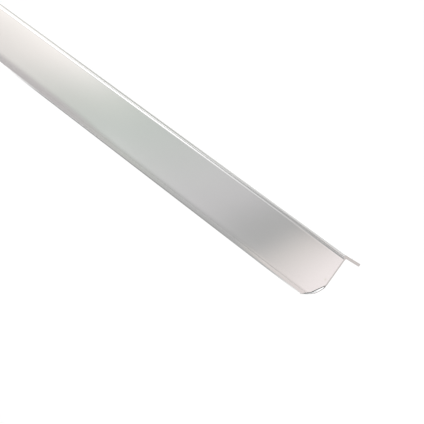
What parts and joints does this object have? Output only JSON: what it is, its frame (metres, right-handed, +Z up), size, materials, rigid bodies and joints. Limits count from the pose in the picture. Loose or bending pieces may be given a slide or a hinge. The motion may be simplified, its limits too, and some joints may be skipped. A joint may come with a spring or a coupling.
{
  "type": "aluminium extrusion profile",
  "caption": "Long slim extruded aluminium edge trim: a flat face with a thin flange across its top edge, a rounded hollow bead along its bottom edge and a clipped end corner.",
  "frame": {"origin": "centre of the box's floor, halfway along the trim", "axes": "+X along the trim, towards the end with the clipped corner; +Z up, with the face slanting up from the bead on the -Y side to the flange on the +Y side"},
  "size_m": [1, 0.034, 0.0178],
  "materials": {
    "profile": "satin anodised"
  },
  "bodies": {
    "root": {"profile": "profile"}
  },
  "joints": []
}
